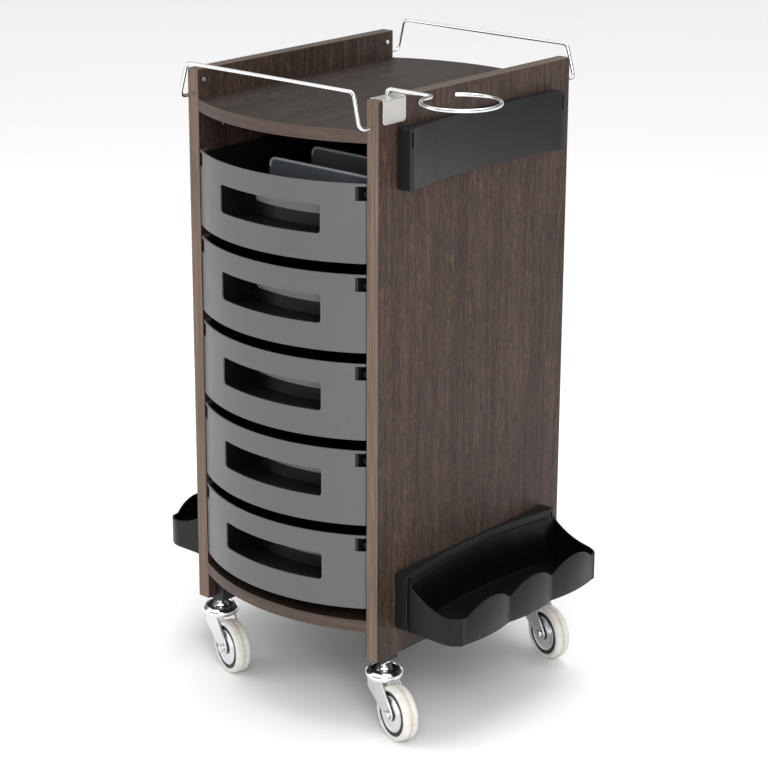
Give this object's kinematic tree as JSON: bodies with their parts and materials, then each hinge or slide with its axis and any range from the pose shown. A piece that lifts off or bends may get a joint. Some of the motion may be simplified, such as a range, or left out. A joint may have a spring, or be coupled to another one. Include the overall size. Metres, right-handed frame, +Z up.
{
  "type": "rolling salon trolley",
  "caption": "Rolling salon trolley: wood-effect cabinet with bowed plastic drawers, side bins, wire rails, a hair-dryer ring and swivel casters.",
  "frame": {"origin": "on the floor, at the middle of the whole trolley's width and depth", "axes": "+Z up, the drawers open towards -Y, +X is the side with the dryer ring"},
  "size_m": [0.5924, 0.47, 0.8676],
  "materials": {
    "wood_board": "satin dark oak laminate",
    "edge_band": "satin",
    "chrome_wire": "polished",
    "nickel_sheet": "satin nickel",
    "bracket_plastic": "satin",
    "bin_plastic": "satin",
    "front_plastic": "satin",
    "tray_plastic": "satin",
    "divider_plastic": "satin",
    "zinc_steel": "bright zinc",
    "chrome_part": "polished",
    "wheel_plastic": "satin",
    "wheel_cover": "silver",
    "tyre_rubber": "matte"
  },
  "bodies": {
    "cabinet": {"side_panel_left": "wood_board", "side_panel_right": "wood_board", "panel_edge_bands": "edge_band", "top_shelf": "wood_board", "bottom_shelf": "wood_board", "shelf_edge_bands": "edge_band", "back_panel": "wood_board", "front_rail": "chrome_wire", "rear_rail": "chrome_wire", "bracket_right_top": "bracket_plastic", "bracket_right_bottom": "bracket_plastic", "bracket_left_bottom": "bracket_plastic", "drawer_rails": "tray_plastic", "caster_sockets": "tray_plastic", "corner_brackets": "zinc_steel", "panel_screws": "zinc_steel", "caster_fl_stem": "chrome_part", "caster_fr_stem": "chrome_part", "caster_rl_stem": "chrome_part", "caster_rr_stem": "chrome_part"},
    "dryer_holder": {"dryer_clip": "nickel_sheet", "dryer_ring": "chrome_wire"},
    "bin_right": {"bin_right": "bin_plastic"},
    "bin_left": {"bin_left": "bin_plastic"},
    "drawer_1": {"drawer_1_front": "front_plastic", "drawer_1_tray": "tray_plastic", "drawer_divider": "divider_plastic"},
    "drawer_2": {"drawer_2_front": "front_plastic", "drawer_2_tray": "tray_plastic"},
    "drawer_3": {"drawer_3_front": "front_plastic", "drawer_3_tray": "tray_plastic"},
    "drawer_4": {"drawer_4_front": "front_plastic", "drawer_4_tray": "tray_plastic"},
    "drawer_5": {"drawer_5_front": "front_plastic", "drawer_5_tray": "tray_plastic"},
    "caster_fl_swivel": {"caster_fl_cap": "chrome_part", "caster_fl_fork": "zinc_steel", "caster_fl_axle": "zinc_steel"},
    "caster_fl_wheel": {"caster_fl_core": "wheel_plastic", "caster_fl_covers": "wheel_cover", "caster_fl_tyre": "tyre_rubber"},
    "caster_fr_swivel": {"caster_fr_cap": "chrome_part", "caster_fr_fork": "zinc_steel", "caster_fr_axle": "zinc_steel"},
    "caster_fr_wheel": {"caster_fr_core": "wheel_plastic", "caster_fr_covers": "wheel_cover", "caster_fr_tyre": "tyre_rubber"},
    "caster_rl_swivel": {"caster_rl_cap": "chrome_part", "caster_rl_fork": "zinc_steel", "caster_rl_axle": "zinc_steel"},
    "caster_rl_wheel": {"caster_rl_core": "wheel_plastic", "caster_rl_covers": "wheel_cover", "caster_rl_tyre": "tyre_rubber"},
    "caster_rr_swivel": {"caster_rr_cap": "chrome_part", "caster_rr_fork": "zinc_steel", "caster_rr_axle": "zinc_steel"},
    "caster_rr_wheel": {"caster_rr_core": "wheel_plastic", "caster_rr_covers": "wheel_cover", "caster_rr_tyre": "tyre_rubber"}
  },
  "joints": [
    {"name": "drawer_1_slide", "type": "slide", "parent": "cabinet", "child": "drawer_1", "axis": [0, -1, 0], "range_m": [0, 0.25]},
    {"name": "drawer_2_slide", "type": "slide", "parent": "cabinet", "child": "drawer_2", "axis": [0, -1, 0], "range_m": [0, 0.25]},
    {"name": "drawer_3_slide", "type": "slide", "parent": "cabinet", "child": "drawer_3", "axis": [0, -1, 0], "range_m": [0, 0.25]},
    {"name": "drawer_4_slide", "type": "slide", "parent": "cabinet", "child": "drawer_4", "axis": [0, -1, 0], "range_m": [0, 0.25]},
    {"name": "drawer_5_slide", "type": "slide", "parent": "cabinet", "child": "drawer_5", "axis": [0, -1, 0], "range_m": [0, 0.25]},
    {"name": "bin_right_off", "type": "slide", "parent": "cabinet", "child": "bin_right", "axis": [1, 0, 0], "range_m": [0, 0.08]},
    {"name": "bin_left_off", "type": "slide", "parent": "cabinet", "child": "bin_left", "axis": [-1, 0, 0], "range_m": [0, 0.08]},
    {"name": "dryer_holder_lift", "type": "slide", "parent": "cabinet", "child": "dryer_holder", "axis": [0, 0, 1], "range_m": [0, 0.06]},
    {"name": "caster_fl_turn", "type": "hinge", "parent": "cabinet", "child": "caster_fl_swivel", "pos_m": [-0.17625, -0.162, 0.0885], "axis": [0, 0, 1], "continuous": true},
    {"name": "caster_fl_roll", "type": "hinge", "parent": "caster_fl_swivel", "child": "caster_fl_wheel", "pos_m": [-0.14391, -0.17251, 0.0375], "axis": [0.309, 0.9511, 0], "continuous": true},
    {"name": "caster_fr_turn", "type": "hinge", "parent": "cabinet", "child": "caster_fr_swivel", "pos_m": [0.12775, -0.162, 0.0885], "axis": [0, 0, 1], "continuous": true},
    {"name": "caster_fr_roll", "type": "hinge", "parent": "caster_fr_swivel", "child": "caster_fr_wheel", "pos_m": [0.16009, -0.17251, 0.0375], "axis": [0.309, 0.9511, 0], "continuous": true},
    {"name": "caster_rl_turn", "type": "hinge", "parent": "cabinet", "child": "caster_rl_swivel", "pos_m": [-0.17625, 0.168, 0.0885], "axis": [0, 0, 1], "continuous": true},
    {"name": "caster_rl_roll", "type": "hinge", "parent": "caster_rl_swivel", "child": "caster_rl_wheel", "pos_m": [-0.14391, 0.15749, 0.0375], "axis": [0.309, 0.9511, 0], "continuous": true},
    {"name": "caster_rr_turn", "type": "hinge", "parent": "cabinet", "child": "caster_rr_swivel", "pos_m": [0.12775, 0.168, 0.0885], "axis": [0, 0, 1], "continuous": true},
    {"name": "caster_rr_roll", "type": "hinge", "parent": "caster_rr_swivel", "child": "caster_rr_wheel", "pos_m": [0.16009, 0.15749, 0.0375], "axis": [0.309, 0.9511, 0], "continuous": true}
  ]
}
